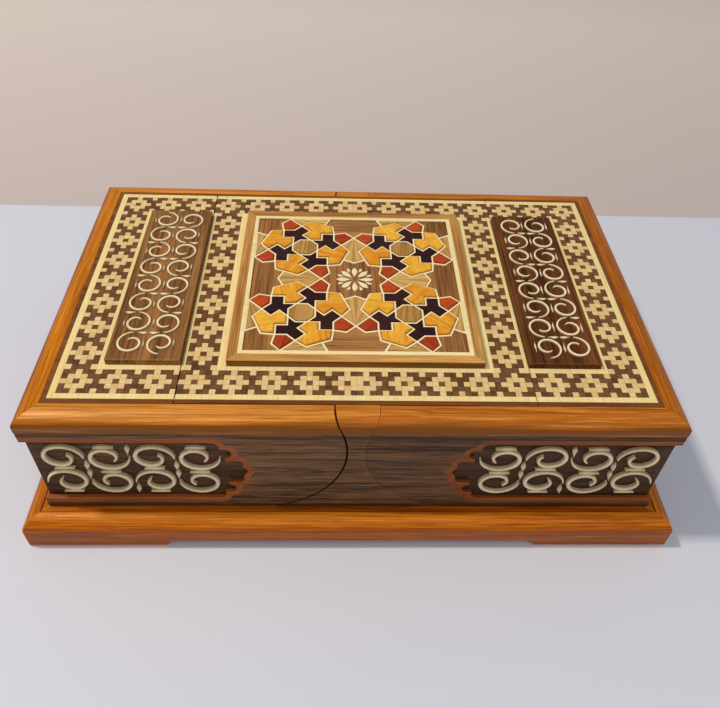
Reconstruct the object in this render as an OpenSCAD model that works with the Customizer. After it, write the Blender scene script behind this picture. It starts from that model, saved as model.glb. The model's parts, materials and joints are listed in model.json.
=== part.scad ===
// Low walnut box with an inlaid top. Two wings, left and right, turn on hidden pins beside a fixed
// centre, like the leaves of a rule joint, and lift their outer ends. Floor at z = 0, front towards -y.

/* [Inlaid top] */
// Height of the mosaic above the floor
top_z = 129.5; // [122:0.5:140]
// Side of one mosaic block
block = 4.5; // [4:0.05:5]
// Blocks across a mosaic band
band_blocks = 5; // [4:1:6]
// Width of the outer light stringing
outer_string = 4.75; // [3.5:0.05:6]
// Width of the light stringing between the front band and the medallion
row_string = 4.25; // [3:0.05:6]
// Width of the light stringing between the side bands and the medallion
column_string = 6.2; // [4:0.05:8]
// Width of the light stringing beside the splits
split_string = 3; // [2:0.05:4]
// Width of the light stringing round a relief board
board_string = 4.75; // [3.5:0.05:6]
// Width of the walnut edging round the inlay
edging_w = 3.9; // [2.5:0.1:6]
// Thickness of the mosaic, the stringing and the edging
veneer_t = 2.5; // [1.5:0.1:4]
// Thickness of the boards under the mosaic
board_t = 8; // [6:0.5:10]

/* [Medallion] */
// Side of the medallion
medallion_s = 186; // [176:0.5:196]
// Width of the medallion's frame
medallion_frame_w = 7.3; // [6:0.1:9]
// Height of the medallion's frame
medallion_h = 6; // [5:0.1:8]
// Width of the medallion's light stringing
medallion_string = 3.5; // [2.5:0.1:4.5]
// Height of the stringing over the medallion's field
medallion_string_h = 1.2; // [0.8:0.1:1.6]
// Height of the medallion's walnut field
field_h = 4.4; // [3.5:0.1:5]
// Width of the groove inside the medallion's stringing
groove_w = 0.7; // [0.4:0.05:0.85]
// Depth of that groove
groove_depth = 1; // [0.5:0.1:2]
// Width of the strapwork
strap_w = 1.4; // [1.2:0.1:2]
// Height of the strapwork over the field
strap_h = 0.9; // [0.6:0.1:1.2]
// Gap between a tile and the strapwork
tile_gap = 0.1; // [0.05:0.01:0.2]
// Height of the amber tiles over the field
amber_h = 2.6; // [1.8:0.1:3.2]
// Height of the red tiles over the field
red_h = 2.2; // [1.6:0.1:3]
// Height of the dark tiles over the field
dark_h = 1.4; // [1:0.1:2]
// Height of the octagon tiles over the field
octagon_h = 1.7; // [1:0.1:2.4]
// Height of the fan tiles over the field
fan_h = 1.2; // [0.8:0.1:1.8]
// Reach of the petals of the rosette in the middle
rosette_r = 15; // [10:0.5:17]
// Height of that rosette over the field
rosette_h = 1; // [0.6:0.1:1.6]

/* [Relief boards] */
// Width of a relief board
relief_w = 53; // [46:0.5:60]
// Height of a relief board above the mosaic
relief_h = 5; // [3:0.1:7]
// Margin round the ornament on a relief board
relief_margin = 5; // [3:0.5:7]
// Turns in a row of the scroll on a relief board
relief_turns = 8; // [5:1:9]
// Rows of the scroll on a relief board
relief_rows = 2; // [1:1:3]
// Width of the scroll's stems on a relief board
relief_stem = 1.9; // [1.4:0.1:2.4]
// Height of the scroll on a relief board
relief_scroll_h = 1.6; // [1:0.1:2.5]

/* [Rail and walls] */
// Drop from the inlay to the rail beside it
rail_drop = 0.4; // [0.2:0.1:1.2]
// Reach of the rounded rail past the edging
rail_nose = 15.8; // [13:0.1:19]
// Height of the rail's foot under the mosaic
rail_h = 13.3; // [12:0.1:17]
// Fall of the rail's rounded nose
nose_drop = 7.3; // [4:0.1:10]
// Set-back of the walls from the rail's face
wall_set = 0.3; // [0.2:0.1:2]
// Thickness of the end panels
end_panel_t = 15; // [10:0.5:18]

/* [Cartouches] */
// Walnut shown between the rail and a cartouche's frame
top_margin = 5.9; // [4:0.1:9]
// Walnut shown between a cartouche's frame and the base
bottom_margin = 6; // [4:0.1:8]
// Width of a cartouche's frame
frame_w = 4.5; // [3.5:0.1:5.5]
// Depth of a cartouche's field under the wall
field_depth = 4; // [2.5:0.1:5]
// Depth of the ends' field under the wall
end_field_depth = 2.2; // [1.5:0.1:4]
// Distance from the middle to the left cartouche's point
left_point_x = 74; // [62:0.5:82]
// Distance from the middle to the right cartouche's point
right_point_x = 67; // [60:0.5:82]
// Radius of the outer lobes of a cartouche's end
outer_lobe = 7.4; // [6:0.1:9]
// Radius of the inner lobes of a cartouche's end
inner_lobe = 7.2; // [6:0.1:8.5]
// Flat between the lobes of a cartouche's end
lobe_flat = 1; // [0.5:0.1:2]
// Radius of the shoulders beside the point
shoulder = 6; // [4.5:0.1:7.5]
// Distance between the shoulders' outer sides
shoulder_span = 30.4; // [26:0.2:34]
// Distance from the shoulders to the point
point_l = 9.8; // [8:0.1:12]
// Turns in a row of the scroll in a cartouche
cartouche_turns = 4; // [3:1:6]
// Rows of the scroll in a cartouche
cartouche_rows = 2; // [1:1:3]
// Width of the scroll's stems in a cartouche
cartouche_stem = 3; // [2:0.1:4]
// Height of the scroll over the field
cartouche_scroll_h = 3.4; // [2:0.1:4]
// Margin round the scroll in a cartouche
cartouche_margin = 5; // [3:0.5:8]

/* [Wings] */
// Depth of the pivots under the mosaic
pivot_drop = 34.1; // [30:0.1:38]
// Width of the fixed post at its waist
waist_w = 12; // [9:0.5:18]
// Diameter of the pivot pins
pin_d = 6; // [4:0.5:8]
// Running clearance of a pin, on the radius
pin_fit = 0.05; // [0.02:0.01:0.1]
// Depth of the pins in the wing panels
pin_depth = 8; // [6:0.5:9]
// Room past a pin's end
pin_end = 0.4; // [0.3:0.1:1]
// Gap between the left wing's round end and its socket
left_socket_gap = 0.9; // [0.3:0.05:1.2]
// Gap between the right wing's round end and its socket
right_socket_gap = 0.3; // [0.3:0.05:1.2]
// Gap between the closed wings and the ledge
rest_gap = 0.4; // [0.3:0.05:0.8]
// Gap between the wings and the fixed centre, front and back
slide_gap = 0.4; // [0.3:0.05:0.8]
// Width of the splits across the top
split_gap = 0.5; // [0.4:0.05:1]
// Extra width of the left split
left_split_extra = 0.7; // [0:0.05:1]
// Lean of a split past the least that a wing needs to lift, in degrees
lean_margin = 5; // [3:0.5:10]
// Gap between the wing boards and the inner walls
lift_gap = 0.5; // [0.3:0.1:1.5]
// Thickness of the inner walls
inner_wall_t = 8; // [6:0.5:10]
// Room between the inner walls and the wings' ends
end_room = 9; // [6:0.5:14]
// Least thickness of a post's toe
toe_t = 1.2; // [0.8:0.1:2]

/* [Base] */
// Height of the ledge under the walls
base_h = 28.4; // [26:0.1:32]
// Reach of the base past the rail
base_out = 17.1; // [14:0.1:21]
// Width of the ledge outside the walls
ledge_w = 5.1; // [3:0.1:8]
// Rise of the base's nose above the ledge
ledge_rise = 1; // [0.5:0.1:2]
// Fall of the base's rounded nose
base_nose_drop = 10.4; // [7:0.1:14]
// Chamfer along the base's lower edge
base_chamfer = 1.2; // [0.5:0.1:2]
// Thickness of the base board
base_board_t = 14; // [9:0.5:15]
// Depth of the floor under the ledge
floor_drop = 4; // [2:0.5:6]
// Height of the arch between the feet
foot_h = 7.3; // [5:0.1:8.5]
// Length of a foot along the front and the back
foot_front = 103.4; // [80:0.2:125]
// Length of a foot along the ends
foot_end = 72; // [55:0.5:90]
// Slope of the arch beside a foot, along the rail
foot_slope = 6; // [2:0.5:10]
// Thickness of the floor lining
lining_t = 1.6; // [1:0.1:3]
// Gap between the lining and the inner walls
lining_gap = 0.5; // [0.3:0.1:2]

/* [Hidden] */
$fn = 64;

// Colours of the woods, the pins and the lining
rail_wood = [0.72, 0.42, 0.16];
walnut = [0.35, 0.25, 0.19];
light_wood = [0.93, 0.85, 0.58];
mosaic_wood = [0.70, 0.57, 0.38];
plain_wood = [0.62, 0.48, 0.33];
frame_wood = [0.60, 0.40, 0.20];
field_wood = [0.52, 0.38, 0.26];
amber_wood = [0.88, 0.62, 0.20];
red_wood = [0.68, 0.22, 0.12];
dark_wood = [0.20, 0.11, 0.13];
tan_wood = [0.70, 0.56, 0.34];
relief_wood = [0.82, 0.75, 0.56];
brass = [0.78, 0.62, 0.28];
velvet = [0.36, 0.06, 0.08];

// The top in plan, laid out from the medallion outwards
band_w = band_blocks * block;
medallion_hs = medallion_s / 2;
row_in = medallion_hs + row_string;
row_out = row_in + band_w;
inlay_hd = row_out + outer_string;
inner_column_in = medallion_hs + column_string;
inner_column_out = inner_column_in + band_w;
split_x = inner_column_out + split_string;
relief_in = split_x + split_gap / 2;
relief_out = relief_in + relief_w;
relief_hd = row_in - board_string;
column_in = relief_out + board_string;
column_out = column_in + band_w;
inlay_hw = column_out + outer_string;

// Half sizes of the rail, the walls and the base, from the inlay outwards
edge_hw = inlay_hw + edging_w;
edge_hd = inlay_hd + edging_w;
centre_hd = edge_hd - slide_gap;
rail_hw = edge_hw + rail_nose;
rail_hd = edge_hd + rail_nose;
wall_hw = rail_hw - wall_set;
wall_hd = rail_hd - wall_set;
ledge_hd = wall_hd + ledge_w;
base_hw = rail_hw + base_out;
base_hd = rail_hd + base_out;
inner_hd = centre_hd - inner_wall_t;
inner_hw = wall_hw - end_panel_t - end_room;

// Heights above the floor
rail_top = top_z - rail_drop;
rail_bottom = top_z - rail_h;
veneer_z = top_z - veneer_t;
board_z = veneer_z - board_t;
floor_z = base_h - floor_drop;
wing_z = base_h + rest_gap;
field_z = top_z + field_h;
relief_z = top_z + relief_h;

// Pivots: the wings' round ends reach down to the ledge and leave the post its waist
pivot_z = top_z - pivot_drop;
end_r = pivot_z - wing_z;
pivot_x = end_r + left_socket_gap + waist_w / 2;
split_lean = atan(pivot_drop / (split_x - pivot_x)) + lean_margin;

// A post's toe ends where it is still toe_t thick
function toe_x(gap) =
    let (sag = toe_t - rest_gap + gap) pivot_x - sqrt(2 * (end_r + gap) * sag - sag * sag);

// Cartouches fill the walls between their margins; heights are on the middle of the frame
cartouche_top = rail_bottom - top_margin - frame_w / 2;
cartouche_low = wing_z + bottom_margin + frame_w / 2;
cartouche_z = (cartouche_top + cartouche_low) / 2;
cartouche_hh = (cartouche_top - cartouche_low) / 2;

// The medallion's pattern: four rosettes, mirrored about both middle lines. Lengths inside a rosette
// are shares of the distance from its centre to those lines.
string_hs = medallion_hs - medallion_frame_w;
pattern_hs = string_hs - medallion_string;
cell = pattern_hs / 2;
octagon_r = 0.2506 * cell;
strap_out = 0.4623 * cell;
strap_turn = 0.337 * cell;
dark_reach = 0.5888 * cell;
amber_reach = 0.9075 * cell;
amber_spread = 15.5;
red_side_in = 0.175 * cell;
red_side_up = 0.046 * cell;
fan_l = 0.8346 * cell;
fan_knee = 0.62;

// Room that clears the whole box, steps along curves drawn as points, and what a cut runs past a face
beyond = 3 * base_hw;
nose_steps = 12;
leaf_steps = 6;
winding_steps = 20;
past = 1;

// Points of a rounded nose from (0, 0) out to (reach, -fall)
function nose(reach, fall) =
    [for (i = [0:nose_steps]) let (a = 90 * i / nose_steps) [reach * sin(a), -fall * (1 - cos(a))]];

function polar(r, a) = [r * cos(a), r * sin(a)];
function turned(p, a) = [p.x * cos(a) - p.y * sin(a), p.x * sin(a) + p.y * cos(a)];
function mirrored(p, a) = [p.x * cos(2 * a) + p.y * sin(2 * a), p.x * sin(2 * a) - p.y * cos(2 * a)];
function reversed(list) = [for (i = [len(list) - 1:-1:0]) list[i]];

// An outline moved out by g on every side, whichever way round it runs
function double_area(p) =
    let (n = len(p)) [for (i = [0:n - 1]) cross(p[i], p[(i + 1) % n])] * [for (i = [1:n]) 1];
function side_normal(p, q, turn) = let (d = (q - p) / norm(q - p)) [d.y * turn, -d.x * turn];
function grown(outline, g) =
    let (n = len(outline), turn = sign(double_area(outline)))
    [for (i = [0:n - 1])
        let (
            here = outline[i],
            before = side_normal(outline[(i + n - 1) % n], here, turn),
            after = side_normal(here, outline[(i + 1) % n], turn)
        )
        here + g * (before + after) / (1 + before * after)];

// Tiles of the lower left rosette about its octagon's centre, each repeated in four quarter turns.
// A strap runs on from an octagon's side, turns out, and turns again to its end.
dark_axis = 157.5;
amber_axis = 112.5;
strap_start = [-octagon_r * tan(22.5), octagon_r];
strap_path = [strap_start, [-strap_turn, octagon_r], [-strap_turn, strap_out], [-dark_reach, strap_out]];
strap_end = strap_path[3];
strap_end_low = mirrored(strap_end, dark_axis);
octagon_tile = [for (k = [0:7]) polar(norm(strap_start), 22.5 + 45 * k)];
dark_end = [-dark_reach, dark_reach * tan(22.5)];
dark_tile = concat(
    strap_path, [dark_end], [for (p = reversed(strap_path)) mirrored(p, dark_axis)],
    [polar(norm(strap_start), dark_axis)]);
amber_corner = polar(amber_reach, amber_axis + amber_spread);
amber_half = [strap_path[1], strap_path[2], strap_end, amber_corner];
amber_tile = concat([strap_start], amber_half, [for (p = reversed(amber_half)) mirrored(p, amber_axis)]);
red_tip = [-cell, cell - strap_out * sqrt(2)];
red_side = [red_side_in - cell, strap_out + red_side_up];
red_tile = [dark_end, strap_end, red_side, red_tip, strap_end_low];
fan_corner = turned(mirrored(amber_corner, amber_axis), 90);
fan_bend = fan_corner + fan_knee * (turned(amber_corner, 90) - fan_corner);
fan_tip = [-cell, red_tip.y - fan_l];
fan_side = [strap_end_low, fan_corner, fan_bend];
fan_half = concat([red_tip], fan_side, [fan_tip]);
fan_whole = concat(fan_half, [for (p = reversed(fan_side)) [-2 * cell - p.x, p.y]]);

// Plain helpers: a block between two corners, and copies to the right and to the back
module block_at(x0, x1, y0, y1, z0, z1) translate([x0, y0, z0]) cube([x1 - x0, y1 - y0, z1 - z0]);
module plate(hw, hd, z0, z1) block_at(-hw, hw, -hd, hd, z0, z1);
module to_right() mirror([1, 0, 0]) children();
module to_back() mirror([0, 1, 0]) children();
module front_and_back() {
    children();
    to_back() children();
}
module left_and_right() {
    children();
    to_right() children();
}

// Carries an outline in x and z along y
module through_depth(y0, y1) translate([0, y1, 0]) rotate([90, 0, 0]) linear_extrude(y1 - y0) children();

// Carries an outline in reach and height along the front or the left end, mitred at the corners
module along_front() {
    run = inlay_hw - inlay_hd;
    intersection() {
        translate([-beyond / 2, 0, 0]) rotate([90, 0, 90]) linear_extrude(beyond) mirror([1, 0]) children();
        linear_extrude(top_z)
            polygon([[-run, 0], [-run - beyond, -beyond], [run + beyond, -beyond], [run, 0]]);
    }
}
module along_left_end() {
    run = inlay_hw - inlay_hd;
    intersection() {
        through_depth(-beyond / 2, beyond / 2) translate([-run, 0]) mirror([1, 0]) children();
        linear_extrude(top_z) polygon([[-run, 0], [-run - beyond, beyond], [-run - beyond, -beyond]]);
    }
}

// What turns with the left wing lies left of its pivot or inside its round end
module left_wing_room(r) {
    translate([-pivot_x, 0, pivot_z]) rotate([90, 0, 0]) cylinder(r=r, h=beyond, center=true);
    block_at(-beyond, -pivot_x, -beyond / 2, beyond / 2, -beyond / 2, beyond / 2);
}

// The fixed centre's side of the left split, which leans out below so that the wing lifts clear
module centre_side(gap) {
    run = 2 * (veneer_t + board_t);
    lean = run * tan(split_lean);
    x = gap - split_x;
    through_depth(-beyond, beyond) translate([0, top_z])
        polygon([[x + lean, run], [beyond, run], [beyond, -run], [x - lean, -run]]);
}
module left_of_split() {
    difference() {
        union() children();
        centre_side(-split_gap / 2);
    }
}
module between_splits() {
    intersection() {
        union() children();
        centre_side(split_gap / 2 + left_split_extra);
        to_right() centre_side(split_gap / 2);
    }
}

// A pointed leaf along x
module leaf(l, w) {
    half = [for (i = [0:leaf_steps]) let (s = i / leaf_steps) [l * s, w / 2 * sin(180 * pow(s, 1.4))]];
    polygon(concat(half, [for (i = [leaf_steps - 1:-1:1]) [half[i].x, -half[i].y]]));
}

// Rows of a running scroll along x: in each turn a stem winds in from a thin tail, with a leaf under it
// and a leaf between the turns. The strokes stand apart, as pieces cut with a saw do.
function winding(r, stem) =
    let (
        round_turn = 400,
        drawn_in = 0.62,
        stations = [for (i = [0:winding_steps]) let (t = i / winding_steps)
            [r * (1 - drawn_in * t), stem / 2 * (0.3 + 0.7 * sqrt(sin(180 * t))), 180 - round_turn * t]]
    )
    concat(
        [for (s = stations) polar(s[0] + s[1], s[2])],
        [for (s = reversed(stations)) polar(s[0] - s[1], s[2])]);
module scroll_row(length, turns, half_h, stem, turned_first) {
    r = length / turns / 2;
    low_y = 0.84 * half_h;
    low_l = 0.9 * r;
    low_w = 0.7 * stem;
    between_y = 0.25 * half_h;
    between_l = 0.7 * half_h;
    between_w = 1.2 * stem;
    for (i = [0:turns - 1])
        translate([(2 * i + 1) * r - length / 2, 0]) mirror([0, (i + turned_first) % 2]) {
            scale([1, half_h / r]) polygon(winding(r, stem));
            translate([-low_l / 2, -low_y]) leaf(low_l, low_w);
            if (i < turns - 1) translate([r, between_y]) rotate(90) leaf(between_l, between_w);
        }
}
module scroll(length, turns, rows, half_h, stem) {
    row_hh = half_h / rows;
    for (row = [0:rows - 1])
        translate([0, (2 * row + 1) * row_hh - half_h]) mirror([row % 2, 0])
            scroll_row(length, turns, row_hh, stem, row);
}

// Outline of a left cartouche, its frame's middle moved out by g; it runs on past the left end
module cartouche(point_x, g) {
    half_span = shoulder_span / 2;
    lobe_v = cartouche_hh - outer_lobe;
    shoulder_x = -point_x - point_l;
    lobe_x = shoulder_x - inner_lobe - lobe_flat;
    start_x = lobe_x - outer_lobe - lobe_flat;
    slant = norm([point_l, half_span]);
    translate([0, cartouche_z]) {
        cartouche_step(start_x, cartouche_hh + g);
        cartouche_step(lobe_x, lobe_v + g);
        cartouche_step(shoulder_x, half_span + g);
        for (side = [-1, 1]) {
            translate([start_x, side * lobe_v]) circle(outer_lobe + g);
            translate([lobe_x, side * (lobe_v - inner_lobe)]) circle(inner_lobe + g);
            translate([shoulder_x, side * (half_span - shoulder)]) circle(shoulder + g);
        }
        polygon([[shoulder_x, half_span + g * slant / point_l], [-point_x + g * slant / half_span, 0],
            [shoulder_x, -half_span - g * slant / point_l]]);
    }
}
module cartouche_step(x, half_h) {
    start = wall_hw + past;
    translate([-start, -half_h]) square([x + start, 2 * half_h]);
}

// Recess of the left end, between the outer edges of its strips
module end_recess() {
    block_at(-wall_hw - past, -wall_hw + end_field_depth, -beyond / 2, beyond / 2,
        cartouche_low - frame_w / 2, cartouche_top + frame_w / 2);
}

// Outlines of the top rail and of the base rails, in reach from the middle and height
module rail_outline(inner) {
    polygon(concat(
        [[inner, rail_bottom], [inner, rail_top]],
        [for (p = nose(rail_nose, nose_drop)) [edge_hd + p.x, rail_top + p.y]],
        [[rail_hd, rail_bottom]]));
}
module base_outline() {
    polygon(concat(
        [[edge_hd, 0], [edge_hd, base_h], [ledge_hd, base_h]],
        [for (p = nose(base_hd - ledge_hd, base_nose_drop)) [ledge_hd + p.x, base_h + ledge_rise + p.y]],
        [[base_hd, base_chamfer], [base_hd - base_chamfer, 0]]));
}
module arch_outline(half_l) {
    slope = foot_slope * past / foot_h;
    polygon([[-half_l - slope, -past], [-half_l + foot_slope, foot_h], [half_l - foot_slope, foot_h],
        [half_l + slope, -past]]);
}

// Pieces of the base
module base_board() color(plain_wood) plate(edge_hw, edge_hd, floor_z - base_board_t, floor_z);
module front_base_rail() {
    color(rail_wood) difference() {
        along_front() base_outline();
        through_depth(-beyond, 0) arch_outline(base_hw - foot_front);
    }
}
module left_base_rail() {
    color(rail_wood) difference() {
        along_left_end() base_outline();
        rotate([0, 0, 90]) through_depth(0, beyond) arch_outline(base_hd - foot_end);
    }
}
module base_front_rail() front_base_rail();
module base_back_rail() to_back() front_base_rail();
module base_left_rail() left_base_rail();
module base_right_rail() to_right() left_base_rail();

// A round bar on the left pivot's axis at the front, between two distances from the middle
module pivot_bar(r, near, far) {
    translate([-pivot_x, -near, pivot_z]) rotate([90, 0, 0]) cylinder(r=r, h=far - near);
}
module inner_wall() {
    color(plain_wood) difference() {
        block_at(-inner_hw, inner_hw, -centre_hd, -inner_hd, floor_z, board_z);
        left_and_right() pivot_bar(pin_d / 2 + pin_fit, inner_hd - past, centre_hd + past);
    }
}
module front_inner_wall() inner_wall();
module back_inner_wall() to_back() inner_wall();
module floor_lining() {
    color(velvet) plate(inner_hw, inner_hd - lining_gap, floor_z, floor_z + lining_t);
}
module left_pivot_pins() color(brass) front_and_back() pivot_bar(pin_d / 2, inner_hd, edge_hd + pin_depth);
module right_pivot_pins() color(brass) to_right() left_pivot_pins();

// Fixed posts and rails between the wings' round ends
module outside_sockets() {
    difference() {
        union() children();
        left_wing_room(end_r + left_socket_gap);
        to_right() left_wing_room(end_r + right_socket_gap);
    }
}
module centre_post() {
    color(walnut) outside_sockets() block_at(
        -toe_x(left_socket_gap), toe_x(right_socket_gap), -wall_hd, -centre_hd, base_h, rail_bottom);
}
module centre_rail() color(rail_wood) outside_sockets() along_front() rail_outline(centre_hd);
module front_centre_post() centre_post();
module back_centre_post() to_back() centre_post();
module front_centre_rail() centre_rail();
module back_centre_rail() to_back() centre_rail();

// Fixed centre of the top
module centre_top_board() {
    color(plain_wood) between_splits() plate(relief_out, centre_hd, board_z, veneer_z);
}
module centre_mosaic_border() {
    color(mosaic_wood) between_splits() difference() {
        plate(relief_out, row_out, veneer_z, top_z);
        plate(inner_column_in, row_in, veneer_z - past, top_z + past);
        left_and_right()
            block_at(-relief_out - past, -inner_column_out, -row_in, row_in, veneer_z - past, top_z + past);
    }
}
module centre_light_stringing() {
    color(light_wood) between_splits() {
        front_and_back() block_at(-relief_out, relief_out, -inlay_hd, -row_out, veneer_z, top_z);
        left_and_right() block_at(-relief_out, -inner_column_out, -row_in, row_in, veneer_z, top_z);
        difference() {
            plate(inner_column_in, row_in, veneer_z, top_z);
            plate(medallion_hs, medallion_hs, veneer_z - past, top_z + past);
        }
    }
}
module centre_walnut_edging() {
    color(walnut) between_splits() front_and_back()
        block_at(-relief_out, relief_out, -centre_hd, -inlay_hd, veneer_z, top_z);
}

// Medallion: a framed walnut field with tiles and strapwork standing on it
module medallion_board() {
    groove_hs = pattern_hs - groove_w;
    color(field_wood) {
        plate(string_hs, string_hs, veneer_z, field_z - groove_depth);
        plate(groove_hs, groove_hs, veneer_z, field_z);
        difference() {
            plate(string_hs, string_hs, veneer_z, field_z);
            plate(pattern_hs, pattern_hs, veneer_z - past, field_z + past);
        }
    }
}
module medallion_frame() {
    color(frame_wood) difference() {
        plate(medallion_hs, medallion_hs, veneer_z, top_z + medallion_h);
        plate(string_hs, string_hs, veneer_z - past, top_z + medallion_h + past);
    }
}
module medallion_stringing() {
    color(light_wood) difference() {
        plate(string_hs, string_hs, field_z, field_z + medallion_string_h);
        plate(pattern_hs, pattern_hs, field_z - past, field_z + medallion_string_h + past);
    }
}
module on_field(h) translate([0, 0, field_z]) linear_extrude(h) children();
module rosettes() for (right = [0, 1], back = [0, 1]) mirror([right, 0]) mirror([0, back]) children();
module at_turn(k) translate([-cell, -cell]) rotate(90 * k) children();
module in_turns(outline) rosettes() for (k = [0:3]) at_turn(k) polygon(outline);
module octagon_outlines(g) rosettes() at_turn(0) polygon(grown(octagon_tile, g));
module fan_outlines(g) {
    for (back = [0, 1]) mirror([0, back]) at_turn(2) polygon(grown(fan_whole, g));
    for (right = [0, 1]) mirror([right, 0]) at_turn(3) polygon(grown(fan_whole, g));
    rosettes() for (k = [0, 1]) at_turn(k) polygon(grown(fan_half, g));
}
module all_outlines(g) {
    in_turns(grown(amber_tile, g));
    in_turns(grown(dark_tile, g));
    in_turns(grown(red_tile, g));
    octagon_outlines(g);
    fan_outlines(g);
}
module strapwork() {
    color(light_wood) on_field(strap_h) intersection() {
        difference() {
            all_outlines(strap_w / 2);
            all_outlines(-strap_w / 2);
        }
        square(2 * pattern_hs, center=true);
    }
}

// Tiles keep clear of the straps
tile_inset = -strap_w / 2 - tile_gap;
module amber_tiles() color(amber_wood) on_field(amber_h) in_turns(grown(amber_tile, tile_inset));
module dark_tiles() color(dark_wood) on_field(dark_h) in_turns(grown(dark_tile, tile_inset));
module red_tiles() color(red_wood) on_field(red_h) in_turns(grown(red_tile, tile_inset));
module octagon_tiles() color(tan_wood) on_field(octagon_h) octagon_outlines(tile_inset);
module fan_tiles() color(tan_wood) on_field(fan_h) fan_outlines(tile_inset);
module centre_rosette() {
    petals = 8;
    petal_w = 0.3 * rosette_r;
    eye_r = 0.15 * rosette_r;
    outer_in = 0.6 * rosette_r;
    outer_l = 0.4 * rosette_r;
    outer_w = 0.16 * rosette_r;
    color(relief_wood) on_field(rosette_h) for (i = [0:petals - 1]) rotate(i * 360 / petals) {
        translate([eye_r, 0]) leaf(rosette_r - eye_r, petal_w);
        rotate(180 / petals) translate([outer_in, 0]) leaf(outer_l, outer_w);
    }
}

// Pieces of the left wing; the right wing mirrors them
module wing_front_rail() {
    color(rail_wood) intersection() {
        along_front() rail_outline(edge_hd);
        left_wing_room(end_r);
    }
}
module wing_end_rail() color(rail_wood) along_left_end() rail_outline(edge_hd);
module wing_front_panel(point_x) {
    color(walnut) difference() {
        intersection() {
            block_at(-wall_hw, 0, -wall_hd, -edge_hd, wing_z, rail_bottom);
            left_wing_room(end_r);
        }
        through_depth(-wall_hd - past, -wall_hd + field_depth) cartouche(point_x, frame_w / 2);
        end_recess();
        pivot_bar(pin_d / 2 + pin_fit, edge_hd - past, edge_hd + pin_depth + pin_end);
    }
}
module wing_end_panel() {
    color(walnut) difference() {
        block_at(-wall_hw, -wall_hw + end_panel_t, -edge_hd, edge_hd, wing_z, rail_bottom);
        end_recess();
    }
}
module wing_top_board() {
    color(plain_wood) left_of_split() block_at(-edge_hw, 0, -edge_hd, edge_hd, board_z + lift_gap, veneer_z);
}
// A flat piece of the wing's top that goes round three sides, between two outlines
module wing_surround(out_x, out_y, in_x, in_y) {
    left_of_split() difference() {
        block_at(-out_x, 0, -out_y, out_y, veneer_z, top_z);
        block_at(-in_x, past, -in_y, in_y, veneer_z - past, top_z + past);
    }
}
module wing_mosaic_border() color(mosaic_wood) wing_surround(column_out, row_out, column_in, row_in);
module wing_light_stringing() {
    color(light_wood) {
        wing_surround(inlay_hw, inlay_hd, column_out, row_out);
        wing_surround(column_in, row_in, relief_out, relief_hd);
    }
}
module wing_walnut_edging() color(walnut) wing_surround(edge_hw, edge_hd, inlay_hw, inlay_hd);
module wing_relief_board() {
    color(walnut) left_of_split()
        block_at(-relief_out, -relief_in, -relief_hd, relief_hd, veneer_z, relief_z);
}
module wing_board_scroll() {
    color(relief_wood) translate([-(relief_in + relief_out) / 2, 0, relief_z]) rotate([0, 0, 90])
        linear_extrude(relief_scroll_h)
            scroll(2 * (relief_hd - relief_margin), relief_turns, relief_rows,
                relief_w / 2 - relief_margin, relief_stem);
}
module wing_cartouche_frames(point_x) {
    color(frame_wood) {
        front_and_back() intersection() {
            through_depth(-wall_hd, -wall_hd + field_depth) difference() {
                cartouche(point_x, frame_w / 2);
                cartouche(point_x, -frame_w / 2);
            }
            block_at(-wall_hw, 0, -wall_hd - past, 0, 0, top_z);
        }
        for (z = [cartouche_low, cartouche_top])
            block_at(-wall_hw, -wall_hw + end_field_depth, -wall_hd, wall_hd,
                z - frame_w / 2, z + frame_w / 2);
    }
}
module wing_cartouche_scrolls(point_x) {
    inner_x = point_x + point_l + inner_lobe + cartouche_margin;
    outer_x = wall_hw - end_field_depth - cartouche_margin;
    field_y = -wall_hd + field_depth;
    half_h = cartouche_hh - frame_w / 2 - cartouche_margin;
    color(relief_wood) front_and_back() translate([-(inner_x + outer_x) / 2, 0, cartouche_z])
        through_depth(field_y - cartouche_scroll_h, field_y)
            scroll(outer_x - inner_x, cartouche_turns, cartouche_rows, half_h, cartouche_stem);
}

module left_front_rail() wing_front_rail();
module left_back_rail() to_back() wing_front_rail();
module left_end_rail() wing_end_rail();
module left_front_panel() wing_front_panel(left_point_x);
module left_back_panel() to_back() wing_front_panel(left_point_x);
module left_end_panel() wing_end_panel();
module left_top_board() wing_top_board();
module left_mosaic_border() wing_mosaic_border();
module left_light_stringing() wing_light_stringing();
module left_walnut_edging() wing_walnut_edging();
module left_relief_board() wing_relief_board();
module left_board_scroll() wing_board_scroll();
module left_cartouche_frames() wing_cartouche_frames(left_point_x);
module left_cartouche_scrolls() wing_cartouche_scrolls(left_point_x);

module right_front_rail() to_right() wing_front_rail();
module right_back_rail() to_right() to_back() wing_front_rail();
module right_end_rail() to_right() wing_end_rail();
module right_front_panel() to_right() wing_front_panel(right_point_x);
module right_back_panel() to_right() to_back() wing_front_panel(right_point_x);
module right_end_panel() to_right() wing_end_panel();
module right_top_board() to_right() wing_top_board();
module right_mosaic_border() to_right() wing_mosaic_border();
module right_light_stringing() to_right() wing_light_stringing();
module right_walnut_edging() to_right() wing_walnut_edging();
module right_relief_board() to_right() wing_relief_board();
module right_board_scroll() to_right() wing_board_scroll();
module right_cartouche_frames() to_right() wing_cartouche_frames(right_point_x);
module right_cartouche_scrolls() to_right() wing_cartouche_scrolls(right_point_x);

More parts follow.
